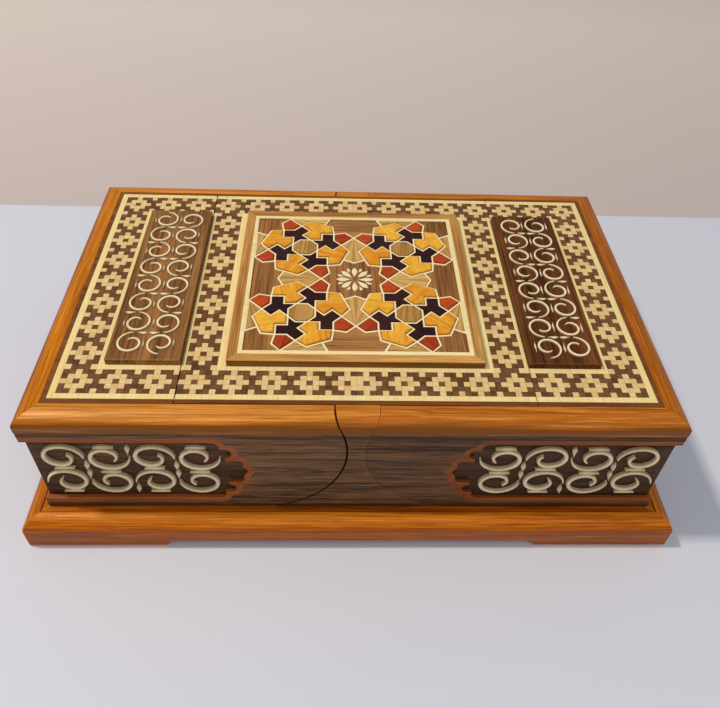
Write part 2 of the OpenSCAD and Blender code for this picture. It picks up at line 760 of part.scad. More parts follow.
base_board();
base_front_rail();
base_back_rail();
base_left_rail();
base_right_rail();
front_inner_wall();
back_inner_wall();
floor_lining();
left_pivot_pins();
right_pivot_pins();
front_centre_post();
back_centre_post();
front_centre_rail();
back_centre_rail();
centre_top_board();
centre_mosaic_border();
centre_light_stringing();
centre_walnut_edging();
medallion_board();
medallion_frame();
medallion_stringing();
strapwork();
amber_tiles();
dark_tiles();
red_tiles();
octagon_tiles();
fan_tiles();
centre_rosette();
left_front_rail();
left_back_rail();
left_end_rail();
left_front_panel();
left_back_panel();
left_end_panel();
left_top_board();
left_mosaic_border();
left_light_stringing();
left_walnut_edging();
left_relief_board();
left_board_scroll();
left_cartouche_frames();
left_cartouche_scrolls();
right_front_rail();
right_back_rail();
right_end_rail();
right_front_panel();
right_back_panel();
right_end_panel();
right_top_board();
right_mosaic_border();
right_light_stringing();
right_walnut_edging();
right_relief_board();
right_board_scroll();
right_cartouche_frames();
right_cartouche_scrolls();
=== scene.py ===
import json
import math
import random

import bmesh
import bpy
from mathutils import Matrix, Vector


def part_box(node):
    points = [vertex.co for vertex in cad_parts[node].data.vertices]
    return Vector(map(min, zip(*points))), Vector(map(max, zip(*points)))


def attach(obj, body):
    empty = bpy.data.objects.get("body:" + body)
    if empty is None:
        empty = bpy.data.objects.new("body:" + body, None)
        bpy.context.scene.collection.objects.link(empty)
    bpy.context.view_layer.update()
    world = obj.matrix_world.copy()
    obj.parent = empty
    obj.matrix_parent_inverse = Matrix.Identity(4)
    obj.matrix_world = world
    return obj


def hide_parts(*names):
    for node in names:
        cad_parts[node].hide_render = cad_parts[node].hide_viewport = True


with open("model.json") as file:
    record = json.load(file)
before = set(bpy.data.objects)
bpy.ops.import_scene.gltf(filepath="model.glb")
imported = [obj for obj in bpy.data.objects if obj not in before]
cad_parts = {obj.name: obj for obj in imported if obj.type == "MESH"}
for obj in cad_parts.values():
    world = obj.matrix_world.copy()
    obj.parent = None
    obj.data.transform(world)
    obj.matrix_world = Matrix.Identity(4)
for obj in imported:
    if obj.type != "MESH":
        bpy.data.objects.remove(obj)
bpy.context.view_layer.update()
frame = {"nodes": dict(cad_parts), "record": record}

# Base: four rails of an orange-brown hardwood with a rounded nose and bracket feet, mitred at the
# corners and glued round a plain board. The grain runs along each rail under a satin varnish.
MM = 0.001
body_of = {n: b for b, nodes in frame["record"]["behaviour"]["bodies"].items() for n in nodes}


class Shade:
    """A socket of a finish's shader; sums on it add Math nodes, and node() adds any other."""

    def __init__(self, tree, socket=None):
        self.tree, self.socket = tree, socket

    def node(self, kind, settings=None, inputs=None, out=0):
        made = self.tree.nodes.new("ShaderNode" + kind)
        for name, value in (settings or {}).items():
            setattr(made, name, value)
        for name, value in (inputs or {}).items():
            if isinstance(value, Shade):
                self.tree.links.new(value.socket, made.inputs[name])
            else:
                made.inputs[name].default_value = value
        return Shade(self.tree, made.outputs[out])

    def math(self, operation, first, second):
        return self.node("Math", {"operation": operation}, {0: first, 1: second})

    def __add__(self, other):
        return self.math("ADD", self, other)

    def __radd__(self, other):
        return self.math("ADD", other, self)

    def __sub__(self, other):
        return self.math("SUBTRACT", self, other)

    def __rsub__(self, other):
        return self.math("SUBTRACT", other, self)

    def __mul__(self, other):
        return self.math("MULTIPLY", self, other)

    def __rmul__(self, other):
        return self.math("MULTIPLY", other, self)

    def __abs__(self):
        return self.math("ABSOLUTE", self, 0)

    def clamped(self):
        return self.node("Clamp", inputs={"Value": self})


def paint(red, green, blue):
    """A screen colour, 0 to 255, as the linear colour that a shader takes."""
    def linear(c):
        c /= 255
        return c / 12.92 if c <= 0.04045 else ((c + 0.055) / 1.055) ** 2.4
    return linear(red), linear(green), linear(blue), 1.0


def new_finish(name):
    """A new finish, the start of its shader's sums, and the sockets where they end."""
    finish = bpy.data.materials.new(name)
    finish.use_nodes = True
    nodes = finish.node_tree.nodes
    return finish, Shade(finish.node_tree), nodes["Principled BSDF"].inputs


def dress(shade, ends, colour, dull, relief):
    """Links what changes over a surface to the finish's sockets."""
    for name, value in (("Base Color", colour), ("Roughness", dull), ("Normal", relief)):
        shade.tree.links.new(value.socket, ends[name])


def blend(shade, share, first, second):
    """Two colours mixed by a share."""
    return shade.node("Mix", {"data_type": "RGBA"}, {0: share, 6: first, 7: second}, out=2)


def noise(shade, place, stretch, seed, detail, distortion=0.0):
    """Noise stretched by three counts per metre, moved by a seed."""
    away = (1.7 * seed, 2.3 * seed, 3.1 * seed)
    moved = shade.node("Mapping", inputs={"Vector": place, "Location": away, "Scale": stretch})
    return shade.node("TexNoise", inputs={
        "Vector": moved, "Scale": 1.0, "Detail": detail, "Roughness": 0.6, "Distortion": distortion})


def wood(name, pale, deep, along, seed, lines=420, bands=60, swell=1.5, contrast=1.7, veins=0.0,
         vein_colour=None, rough=0.45, gloss=0.16, varnish=(1.0, 0.9, 0.75, 1.0), drawn=0.02,
         streaks_and_shade=(), edge=None, edge_share=0.3, lay=None, veneer=None):
    """Varnished wood: growth bands, fine lines, dark veins and open pores drawn out along one axis.

    Lines and bands are counts per metre. Streaks are dark stripes at a height, with a half width and a
    depth: some are grain, others painted shade. Lay gives the grain's places and veneer a tone of its own.
    A tone past 1 goes on to a darker colour, used as a stain and as painted shade.
    """
    finish, shade, ends = new_finish(name)
    place = lay(shade) if lay else shade.node("TexCoord", out=3)
    run = "xyz".index(along)

    def grain(count, long, turn, detail, distortion=0.0):
        stretch = [count * (long if i == run else 1) for i in range(3)]
        return noise(shade, place, stretch, seed + 10 * turn, detail, distortion)

    growth = grain(bands, long=0.05, turn=1, detail=3, distortion=0.6)
    fine = grain(lines, long=drawn, turn=2, detail=4, distortion=0.3)
    hair = grain(2.6 * lines, long=drawn, turn=5, detail=2)
    pores = grain(1700, long=0.03, turn=3, detail=2)
    figure = grain(0.3 * lines, long=0.03, turn=4, detail=3, distortion=0.5)
    tone = shade.node("Attribute", {"attribute_name": "tone"}, out=2)
    edge_faces = shade.node("Attribute", {"attribute_name": "edge"}, out=2)
    hair_share, streak_wander = 0.7, 0.03
    depth = (growth - 0.5) * swell + (fine - 0.5) * contrast + (hair - 0.5) * hair_share * contrast + 0.5
    depth = depth + tone
    if veneer:
        depth = depth + veneer(shade)
    for height, half, deepened in streaks_and_shade:
        off = shade.node("SeparateXYZ", inputs={0: place}, out=2) + (growth - 0.5) * streak_wander - height
        depth = depth + (1 - abs(off) * (1 / half)).clamped() * deepened

    stain_and_shade_share, vein_thinness, vein_level, vein_rise = 0.85, 16, 0.42, 5
    pore_share, pore_level, pore_rise = 0.45, 0.56, 7
    colour = blend(shade, depth.clamped(), pale, deep)
    darker = tuple(0.4 * c for c in deep[:3]) + (1.0,)
    colour = blend(shade, (depth - 1).clamped() * stain_and_shade_share, colour, darker)
    vein = (1 - abs(figure - 0.5) * vein_thinness).clamped() * ((growth - vein_level) * vein_rise).clamped()
    colour = blend(shade, vein * veins, colour, vein_colour or darker)
    pore = ((pores - pore_level) * pore_rise).clamped()
    colour = blend(shade, pore * pore_share, colour, darker)
    # Eased edges are lighter, as wear and a painted highlight; some finishes give them a darker edge colour
    # instead.
    worn_and_lit = edge or tuple(min(1, 1.35 * c) for c in pale)
    colour = blend(shade, edge_faces * edge_share, colour, worn_and_lit)
    height = fine * 0.5 - pore * 0.6
    relief = shade.node("Bump", inputs={"Strength": 0.16, "Distance": 0.0003, "Height": height})
    dull = rough + (fine - 0.5) * 0.25 + pore * 0.12
    dress(shade, ends, colour, dull, relief)
    ends["Specular IOR Level"].default_value = gloss
    ends["Specular Tint"].default_value = varnish
    return finish


def piece(name, mesh_work, finish):
    """Puts a finished mesh into the scene: smooth over curves, sharp at true corners."""
    mesh = bpy.data.meshes.new(name)
    mesh_work.to_mesh(mesh)
    mesh_work.free()
    mesh.materials.append(finish)
    mesh.shade_smooth()
    mesh.set_sharp_from_angle(angle=math.radians(40))
    made = bpy.data.objects.new(name, mesh)
    bpy.context.scene.collection.objects.link(made)
    made.modifiers.new("flat_faces", "WEIGHTED_NORMAL").keep_sharp = True
    return made


def stands_for(made, *nodes):
    """The piece moves with the body of the first CAD node that it stands for, and hides those nodes."""
    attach(made, body_of[nodes[0]])
    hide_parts(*nodes)
    return made


def eased(node, ease, finish, tone=0.0, shaded=None):
    """A CAD node with its sharp edges eased by so many millimetres; shaded darkens some of its faces."""
    sharp, flat, shaded_tone = math.radians(25), math.radians(0.3), 1.5
    work = bmesh.new()
    work.from_mesh(frame["nodes"][node].data)
    bmesh.ops.remove_doubles(work, verts=work.verts, dist=1e-6)
    bmesh.ops.dissolve_limit(work, angle_limit=flat, verts=work.verts, edges=work.edges)
    edge_faces = work.faces.layers.float.new("edge")
    corners = [e for e in work.edges if e.is_manifold and e.calc_face_angle() > sharp]
    made = bmesh.ops.bevel(
        work, geom=corners, offset=ease * MM, offset_type="OFFSET", segments=2, profile=0.5,
        affect="EDGES", clamp_overlap=False)
    for face in made["faces"]:
        face[edge_faces] = 1.0
    tones = work.faces.layers.float.new("tone")
    for face in work.faces:
        face[tones] = tone + (shaded(face) if shaded else 0.0)
        # Faces darkened this far by painted shade lose their lighter edge.
        if face[tones] > shaded_tone:
            face[edge_faces] = 0.0
    stands_for(piece(node + "_wood", work, finish), node)


rail_pale, rail_deep, rail_vein = paint(236, 144, 30), paint(170, 82, 4), paint(92, 38, 8)
amber_varnish = (1.0, 0.72, 0.4, 1.0)
rail_figure = {"lines": 620, "contrast": 2.1, "vein_colour": rail_vein, "varnish": amber_varnish}
# Painted shade: the base fronts are darker below the nose and towards the foot.
base_painted_shade = ((0.0185, 0.0075, 0.55), (0.006, 0.012, 0.6))
base_rails = {
    f"base_{side}_rail": wood(
        f"base rail wood, {side}", rail_pale, rail_deep, along, seed, veins=0.5, rough=0.34, gloss=0.32,
        streaks_and_shade=base_painted_shade, **rail_figure)
    for side, along, seed in (("front", "x", 1), ("back", "x", 2), ("left", "y", 3), ("right", "y", 4))
}
ledge_low, ledge_high, step_high = 28.3, 28.5, 29.2
# Painted shade: the ledge and its step are darkened where the walls shade them.
step_painted_shadow, ledge_painted_shade, rail_tone = 2.5, 0.45, 0.1


def ledge(face):
    """The flat ledge under the walls is darkened as painted shade, and a darker painted shadow lies along
    its step.
    """
    middle, level = face.calc_center_median(), face.normal.z > 0.99
    z = middle.z / MM
    if ledge_low < z < step_high and not level and face.normal.xy.dot(middle.xy) < 0:
        return step_painted_shadow
    return ledge_painted_shade if ledge_low < z < ledge_high and level else rail_tone


for node, finish in base_rails.items():
    eased(node, 0.7, finish, shaded=ledge)

# Floor of the case and the two inner walls: plain sanded boards that carry the pins and the centre of
# the top. They are glued into the base and show only when a wing is up.
plain_pale, plain_deep = paint(206, 170, 122), paint(168, 128, 84)
plain_board = wood("sanded board", plain_pale, plain_deep, "x", 5, rough=0.65, gloss=0.15)
for node in ("base_board", "front_inner_wall", "back_inner_wall"):
    eased(node, 0.5, plain_board)

# Lining: one sheet of dark red velvet laid on the floor of the case, cut to fit between the walls. It
# is a guess, since the photo shows the box closed.
lining_low, lining_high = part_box("floor_lining")
lining_w, lining_l = lining_high.x - lining_low.x, lining_high.y - lining_low.y


def velvet():
    """Short pile, brushed this way and that."""
    finish, shade, ends = new_finish("dark red velvet")
    place = shade.node("TexCoord", out=3)
    pile = noise(shade, place, (2600, 2600, 2600), seed=31, detail=2)
    brushed = noise(shade, place, (26, 60, 26), seed=32, detail=3, distortion=0.8)
    share = ((pile - 0.5) * 1.2 + (brushed - 0.5) * 1.6 + 0.5).clamped()
    colour = blend(shade, share, paint(118, 26, 34), paint(66, 10, 16))
    relief = shade.node("Bump", inputs={"Strength": 0.5, "Distance": 0.0004, "Height": pile})
    dress(shade, ends, colour, 0.75 + (brushed - 0.5) * 0.3, relief)
    ends["Sheen Weight"].default_value = 0.6
    return finish


def laid_cloth():
    """A thin closed sheet with soft ripples and a turned-down edge."""
    work = bmesh.new()
    across, down = 68, 40
    thick, wave, rim_share = 0.9 * MM, 0.35 * MM, 0.06
    edge_thick, sag = 0.7 * thick, 0.1 * MM
    layers = []
    for layer in (0, 1):
        rows = []
        for j in range(down + 1):
            v = j / down
            row = []
            for i in range(across + 1):
                u = i / across
                rim = min(u, 1 - u, v, 1 - v)
                ripple = wave * (1 + math.sin(9 * u + 5 * v) * math.sin(7 * v - 4 * u))
                lift = ripple * min(1, rim / rim_share)
                top = thick if rim > 0 else edge_thick
                row.append(work.verts.new((
                    lining_low.x + lining_w * u, lining_low.y + lining_l * v,
                    lining_low.z + (lift + top if layer else max(0, lift - sag)))))
            rows.append(row)
        layers.append(rows)
    for layer, rows in enumerate(layers):
        for j in range(down):
            for i in range(across):
                corners = [rows[j][i], rows[j][i + 1], rows[j + 1][i + 1], rows[j + 1][i]]
                work.faces.new(corners if layer else corners[::-1])

    def round_rim(rows):
        there = rows[0][:-1] + [row[-1] for row in rows[:-1]]
        return there + rows[-1][:0:-1] + [row[0] for row in rows[:0:-1]]

    rim_low, rim_high = (round_rim(rows) for rows in layers)
    for k in range(len(rim_low)):
        n = (k + 1) % len(rim_low)
        work.faces.new([rim_low[k], rim_low[n], rim_high[n], rim_high[k]])
    return work


lining = stands_for(piece("velvet_lining", laid_cloth(), velvet()), "floor_lining")

# Pivot pins: turned brass pins driven through the inner walls into the wings' front and back panels.
# They are a guess at the hidden hinge that lets the round ends turn in their sockets.


def brass():
    """Brass with turning marks round the pin and a little stain."""
    finish, shade, ends = new_finish("turned brass")
    place = shade.node("TexCoord", out=3)
    turning = noise(shade, place, (300, 9000, 300), seed=41, detail=2)
    stain = noise(shade, place, (400, 400, 400), seed=42, detail=3)
    colour = blend(shade, (stain * 1.4 - 0.3).clamped(), paint(214, 176, 96), paint(160, 118, 52))
    relief = shade.node("Bump", inputs={"Strength": 0.2, "Distance": 0.0001, "Height": turning})
    dress(shade, ends, colour, 0.24 + stain * 0.2, relief)
    ends["Metallic"].default_value = 1.0
    return finish


pin_brass = brass()
for node in ("left_pivot_pins", "right_pivot_pins"):
    eased(node, 0.4, pin_brass)

# Fixed centre of the front and the back: a walnut post, hollowed on both sides for the wings' round
# ends, under a short length of the top rail. The grain of the walnut runs across the box.
walnut_pale, walnut_deep, walnut_vein = paint(146, 104, 68), paint(84, 56, 35), paint(34, 22, 16)
walnut_figure = {"lines": 620, "bands": 75, "swell": 1.0, "contrast": 2.3, "veins": 0.85,
                 "vein_colour": walnut_vein, "drawn": 0.04}
# Painted shade along the foot of the walls, under the frames' lower strips; the other two wall streaks are
# dark grain near the top of the wall.
foot_painted_shade = (0.0285, 0.007, 1.0)
wall_streaks_and_shade = ((0.1115, 0.005, 0.6), (0.1015, 0.002, 1.2), foot_painted_shade)
front_walnut = wood("wall walnut", walnut_pale, walnut_deep, "x", 7, streaks_and_shade=wall_streaks_and_shade, **walnut_figure)
# Painted shade: the top rails darken towards their lower edge, where the nose turns from the light.
nose_painted_shade = ((0.1195, 0.0075, 2.0),)
# The rails along the front and back are paler and greyer than the end rails, partly as a painted sheen.
rail_x = {
    side: wood("top rail wood, along the " + side, pale, deep, "x", 8, veins=0.45, rough=rough, gloss=gloss,
               streaks_and_shade=nose_painted_shade, edge_share=0.1, **rail_figure)
    for side, pale, deep, rough, gloss in (
        ("front", paint(246, 172, 74), paint(188, 106, 26), 0.34, 0.3),
        ("back", paint(240, 160, 60), paint(178, 96, 20), 0.5, 0.08))
}
# Painted shade darkens the rule joints' gaps.
gap_reach, gap_low, gap_high, gap_painted_shade = 74, 28.7, 128.8, 2.0
turned_x, turned_z = 0.15, 0.2


def in_gap(face):
    """The round faces inside a rule joint are darkened as painted shade, and on the left its eased edges
    too.
    """
    middle, normal = face.calc_center_median() / MM, face.normal
    outermost = 0.97 if middle.x < 0 else 0.1
    inside = abs(normal.y) < outermost and (abs(normal.x) > turned_x or abs(normal.z) > turned_z)
    return gap_painted_shade if inside and abs(middle.x) < gap_reach and gap_low < middle.z < gap_high else 0.0


def rail_end(face):
    """A rail's cut ends in the rule joint, apart from its long faces."""
    return in_gap(face) if abs(face.normal.x) > turned_x else 0.0


for side in ("front", "back"):
    eased(side + "_centre_post", 0.3, front_walnut, shaded=in_gap)
    eased(side + "_centre_rail", 0.3, rail_x[side], tone=0.16, shaded=rail_end)

# Wing walls: walnut panels glued into a three-sided box that turns on the pins. The front and back
# panels end in a half round, and their outer part is sunk for a cartouche.
end_walnut = wood("end wall walnut", walnut_pale, walnut_deep, "y", 9, streaks_and_shade=(foot_painted_shade,),
                  **walnut_figure)
# Painted shade darkens the sunk fields.
front_field, end_field, sunk_painted_shade = (138, 142), (225, 228.5), 0.65


def sunk(face):
    """The sunk fields are darkened as painted shade in their recess."""
    middle = face.calc_center_median() / MM
    front = abs(face.normal.y) > 0.9 and front_field[0] < abs(middle.y) < front_field[1]
    end = abs(face.normal.x) > 0.9 and end_field[0] < abs(middle.x) < end_field[1]
    return sunk_painted_shade if front or end else in_gap(face)


for wing in ("left", "right"):
    for side in ("front", "back"):
        eased(f"{wing}_{side}_panel", 0.3, front_walnut, tone=0.2 if wing == "right" else 0.0, shaded=sunk)
    eased(wing + "_end_panel", 0.3, end_walnut, shaded=sunk)

# Top rail of the wings: the same orange-brown wood as the base, rounded over and mitred at the corners,
# glued on the walls and level with the inlay.
rail_y = wood("top rail wood, along the ends", paint(226, 142, 18), paint(166, 86, 2), "y", 10, veins=0.45,
              rough=0.34, gloss=0.2, streaks_and_shade=nose_painted_shade, edge_share=0.1, **rail_figure)
# The right wing's rails are painted darker, as painted shade.
for wing, darker in (("left", 0.0), ("right", 0.3)):
    for side in ("front", "back"):
        eased(f"{wing}_{side}_rail", 0.3, rail_x[side], tone=darker, shaded=rail_end)
    eased(wing + "_end_rail", 0.3, rail_y, tone=darker)

# Cartouche frames: a lobed moulding let into the sunk part of each wall, with two straight strips that
# run on round the ends. It is sawn from the rail's wood.
frame_brown = wood("cartouche frame wood", paint(176, 100, 48), paint(124, 64, 28), "x", 11)
for wing, darker in (("left", 0.0), ("right", 0.35)):
    eased(wing + "_cartouche_frames", 0.7, frame_brown, tone=darker)

# Scroll in the cartouches: pale strokes sawn from thin board, rounded over and glued on the sunk walnut.
# The plain scroll stands where the original has lettering.
stem_section = [(-1, 0), (-1, 0.62), (-0.72, 0.9), (0, 1), (0.72, 0.9), (1, 0.62), (1, 0)]
leaf_section = [(-1, 0), (-1, 0.5), (-0.5, 0.8), (0, 1), (0.5, 0.8), (1, 0.5), (1, 0)]


def winding(radius, stem):
    """Stations of a stem that winds in from a thin tail: its middle, its outward side, its half width."""
    steps, sweep, closing, thin_end = 48, 400, 0.62, 0.3
    stations = []
    for i in range(steps + 1):
        t = i / steps
        turn = math.radians(180 - sweep * t)
        out = Vector((math.cos(turn), math.sin(turn)))
        swelling = math.sqrt(max(0, math.sin(math.pi * t)))
        half = stem / 2 * (thin_end + (1 - thin_end) * swelling)
        stations.append((out * radius * (1 - closing * t), out, half))
    return stations


def leaf(start, turn, length, width):
    """Stations of a pointed leaf from a point, turned by degrees."""
    ahead = Vector((math.cos(math.radians(turn)), math.sin(math.radians(turn))))
    side = Vector((-ahead.y, ahead.x))
    steps, tip_half = 16, 0.04
    stations = []
    for i in range(steps + 1):
        s = i / steps
        half = max(tip_half, width / 2 * math.sin(math.pi * s ** 1.4))
        stations.append((Vector(start) + ahead * length * s, side, half))
    return stations


def scroll(length, turns, rows, half_h, stem):
    """The strokes of rows of a running scroll along x: stems, a leaf under each turn and one between."""
    radius, row_half = length / turns / 2, half_h / rows
    squash = row_half / radius
    stem_turn = [(Vector((p.x, p.y * squash)), Vector((s.x, s.y * squash)), half)
                 for p, s, half in winding(radius, stem)]
    low_leaf = leaf((-0.45 * radius, -0.84 * row_half), 0, 0.9 * radius, 0.7 * stem)
    next_leaf = leaf((radius, 0.25 * row_half), 90, 0.7 * row_half, 1.2 * stem)
    stems, leaves = [], []
    for row in range(rows):
        across = -1 if row % 2 else 1
        row_y = (2 * row + 1) * row_half - half_h
        for i in range(turns):
            flip = -1 if (i + row) % 2 else 1
            middle = Vector(((2 * i + 1) * radius - length / 2, 0))
            own_leaves = [low_leaf, next_leaf] if i < turns - 1 else [low_leaf]
            for strokes, found in (([stem_turn], stems), (own_leaves, leaves)):
                for stroke in strokes:
                    found.append([
                        (Vector((across * (middle.x + p.x), row_y + flip * p.y)),
                         Vector((across * s.x, flip * s.y)), half)
                        for p, s, half in stroke])
    return stems, leaves


def carve(work, strokes, section, height, place):
    """Lofts strokes with one cross-section; place puts a flat point and a height into the frame."""
    edge_faces = work.faces.layers.float.get("edge") or work.faces.layers.float.new("edge")
    for stroke in strokes:
        rings = []
        for middle, side, half in stroke:
            rings.append([
                work.verts.new(place(middle + side * half * across, height * up) * MM)
                for across, up in section])
        for first, second in zip(rings, rings[1:]):
            for k in range(len(section)):
                n = (k + 1) % len(section)
                face = work.faces.new([first[k], first[n], second[n], second[k]])
                face[edge_faces] = 1.0 if k in (0, len(section) - 2) else 0.0
        for ring in (rings[0], rings[-1]):
            work.faces.new(ring)
    bmesh.ops.recalc_face_normals(work, faces=work.faces)


# The strokes' upright sides are painted darker, as painted shade.
stroke_side_shade = paint(120, 90, 54)
cartouche_relief = wood("pale carving, walls", paint(255, 238, 200), paint(226, 202, 156), "x", 12,
                        contrast=1.2, rough=0.5, edge=stroke_side_shade, edge_share=0.5)
wall_hd, field_depth, wall_hw, end_depth = 143.9, 4.0, 229.35, 2.2
cartouche_mid, cartouche_half, cartouche_stem, cartouche_rise = 72.55, 28.25, 3.0, 3.4
lobe_l, lobe_w, scroll_margin = 9.8, 7.2, 5
for wing, mirror, point in (("left", 1, 74.0), ("right", -1, 67.0)):
    inner, outer = point + lobe_l + lobe_w + scroll_margin, wall_hw - end_depth - scroll_margin
    stems, leaves = scroll(outer - inner, 4, 2, cartouche_half, cartouche_stem)
    work = bmesh.new()
    for face in (-1, 1):
        def on_wall(flat, up, face=face, mirror=mirror, inner=inner, outer=outer):
            return Vector((mirror * (flat.x - (inner + outer) / 2),
                           face * (wall_hd - field_depth + up), cartouche_mid + flat.y))
        carve(work, stems, stem_section, cartouche_rise, on_wall)
        carve(work, leaves, leaf_section, cartouche_rise, on_wall)
    stands_for(piece(wing + "_wall_carving", work, cartouche_relief), wing + "_cartouche_scrolls")

# Boards of the top: plain boards under the inlay, cut on the slant at the splits so that the wings lift
# clear of the fixed centre.
for node in ("centre_top_board", "left_top_board", "right_top_board"):
    eased(node, 0.25, plain_board)

# Mosaic: small square sticks of light wood and walnut, set on end as rows of stepped stars, glued into
# bands and planed flush. Each stick has its own tone, and a hairline joint shows between them.
light_stick = wood("light mosaic sticks", paint(244, 216, 156), paint(218, 182, 116), "z", 13, lines=600,
                   bands=200, contrast=1.0, edge=paint(176, 138, 82), edge_share=0.5)
dark_stick = wood("walnut mosaic sticks", paint(132, 94, 58), paint(88, 58, 34), "z", 14, lines=600,
                  bands=200, contrast=1.2, edge=paint(58, 36, 20), edge_share=0.5)
veneer_low, veneer_top, block, split_lean = 127.0, 129.5, 4.5, 2.0
row_mid, row_reach, column_half = 108.5, 97.25, 21
stick_tones = random.Random(4)


def starred(along, across):
    """Whether a stick is light; stars repeat every six sticks, counted from a star's middle."""
    along = (along + 2) % 6 - 2
    if across == 0:
        return along in (-2, -1, 1, 2)
    return abs(along) <= 1 if abs(across) == 1 else along in (0, 3)


def stick(work, x0, x1, y0, y1, slant):
    """One stick with a fine chamfer; slant moves the low corners of the given x side outwards."""
    layers = work.faces.layers.float
    edge_faces, tones = (layers.get(name) or layers.new(name) for name in ("edge", "tone"))
    gap, cut, spread = 0.02, 0.1, 0.28
    tone = stick_tones.uniform(-spread, spread)
    rings = []
    for inset, z in ((gap, veneer_low), (gap, veneer_top - cut), (gap + cut, veneer_top)):
        low = split_lean if z == veneer_low else 0
        left = x0 + inset + (low if slant == x0 else 0)
        right = x1 - inset + (low if slant == x1 else 0)
        ring = [(left, y0 + inset), (right, y0 + inset), (right, y1 - inset), (left, y1 - inset)]
        rings.append([work.verts.new((x * MM, y * MM, z * MM)) for x, y in ring])
    made = [work.faces.new(rings[0][::-1]), work.faces.new(rings[2])]
    for first, second in zip(rings, rings[1:]):
        for k in range(4):
            n = (k + 1) % 4
            made.append(work.faces.new([first[k], first[n], second[n], second[k]]))
    for face in made:
        face[tones] = tone
    for face in made[-4:]:
        face[edge_faces] = 1.0


def stick_list(place):
    """The sticks of one panel, on the right side: two corners, whether light, and the slanted x."""
    if place.startswith("centre"):
        pitch, count, star_at, column = 26.6 / 6, 28, 1, 110.45
        split = 124.45 if place == "centre right" else 123.75
        edges = [k * pitch for k in range(count)] + [split]
    else:
        first, count, star_at, column = 128.7, 18, 3, 193.95
        split = 124.95
        edges = [split] + [first + block * k for k in range(count)]
    found = []
    for k, (x0, x1) in enumerate(zip(edges, edges[1:])):
        for front in (-1, 1):
            for r in range(-2, 3):
                y = front * row_mid + r * block
                found.append((x0, x1, y - block / 2, y + block / 2, starred(k - star_at, r), split))
    for j in range(-column_half, column_half + 1):
        y0 = -row_reach if j == -column_half else (j - 0.5) * block
        y1 = row_reach if j == column_half else (j + 0.5) * block
        for r in range(-2, 3):
            x = column + r * block
            found.append((x - block / 2, x + block / 2, y0, y1, starred(j, r), None))
    return found


for panel, places in (("centre", (1, -1)), ("left", (-1,)), ("right", (1,))):
    light, dark = bmesh.new(), bmesh.new()
    for side in places:
        part = {True: bmesh.new(), False: bmesh.new()}
        spot = ("centre right" if side > 0 else "centre left") if panel == "centre" else "wing"
        for x0, x1, y0, y1, pale, slant in stick_list(spot):
            stick(part[pale], x0, x1, y0, y1, slant)
        for pale, whole in ((True, light), (False, dark)):
            if side < 0:
                bmesh.ops.scale(part[pale], vec=(-1, 1, 1), verts=part[pale].verts)
                bmesh.ops.reverse_faces(part[pale], faces=part[pale].faces)
            passed_on = bpy.data.meshes.new("sticks")
            part[pale].to_mesh(passed_on)
            part[pale].free()
            whole.from_mesh(passed_on)
            bpy.data.meshes.remove(passed_on)
    stands_for(piece(panel + "_light_sticks", light, light_stick), panel + "_mosaic_border")
    stands_for(piece(panel + "_dark_sticks", dark, dark_stick), panel + "_mosaic_border")

# Stringing and edging: straight strips of pale wood that frame the mosaic, and a walnut strip outside
# them, all planed flush with the sticks.
pale_string = wood("pale stringing", paint(250, 232, 166), paint(236, 208, 134), "y", 15, contrast=1.0,
                   edge=paint(170, 128, 70), edge_share=0.5)
edge_walnut = wood("walnut edging", paint(146, 88, 40), paint(92, 50, 22), "x", 16)
for panel in ("centre", "left", "right"):
    eased(panel + "_light_stringing", 0.12, pale_string)
    eased(panel + "_walnut_edging", 0.12, edge_walnut)

# Relief boards: thick walnut boards let into the wings, their edges rounded over, with pale strokes
# glued on. The plain scroll stands where the original has lettering.
board_walnut = {
    wing: wood("relief board walnut, " + wing, pale, deep, "y", 17, bands=70,
               contrast=2.2, veins=0.7, vein_colour=paint(48, 24, 14), gloss=0.1)
    for wing, pale, deep in (("left", paint(168, 118, 66), paint(104, 65, 30)),
                             ("right", paint(124, 73, 34), paint(50, 25, 10)))
}
board_relief = wood("pale carving, boards", paint(255, 242, 204), paint(242, 216, 166), "y", 18,
                    contrast=1.2, rough=0.5, edge=stroke_side_shade, edge_share=0.65)
relief_x, relief_z, relief_half, relief_reach = 151.45, 134.5, 21.5, 87.5
relief_stem, relief_rise = 1.9, 1.6
for wing, mirror in (("left", 1), ("right", -1)):
    eased(wing + "_relief_board", 0.8, board_walnut[wing])
    stems, leaves = scroll(2 * relief_reach, 8, 2, relief_half, relief_stem)
    work = bmesh.new()

    def on_board(flat, up, mirror=mirror):
        return Vector((mirror * (-relief_x - flat.y), flat.x, relief_z + up))
    carve(work, stems, stem_section, relief_rise, on_board)
    carve(work, leaves, leaf_section, relief_rise, on_board)
    stands_for(piece(wing + "_board_carving", work, board_relief), wing + "_board_scroll")

# Medallion: a square walnut field in a plain moulded frame, with a pale string round it. The field lies
# a little below the string, behind a fine groove.
veneer_past = 0.02


def front_or_back(shade, place, past):
    """1 in the front and back quarters of the medallion and 0 at its sides, less a width past the mitre."""
    x, y = (abs(shade.node("SeparateXYZ", inputs={0: place}, out=i)) for i in (0, 1))
    return shade.math("GREATER_THAN", y, x + past)


def mitred(shade, past=0.0):
    """Places for a grain along y that turns to x in the front and back quarters."""
    place = shade.node("TexCoord", out=3)
    x, y, z = (shade.node("SeparateXYZ", inputs={0: place}, out=i) for i in range(3))
    crossed = shade.node("CombineXYZ", inputs={0: y, 1: x, 2: z})
    return shade.node("Mix", {"data_type": "VECTOR"}, {
        0: front_or_back(shade, place, past), 4: place, 5: crossed}, out=1)


def by_sector(shade):
    """The field's veneers turn only in the middle of the front and back."""
    return mitred(shade, veneer_past)


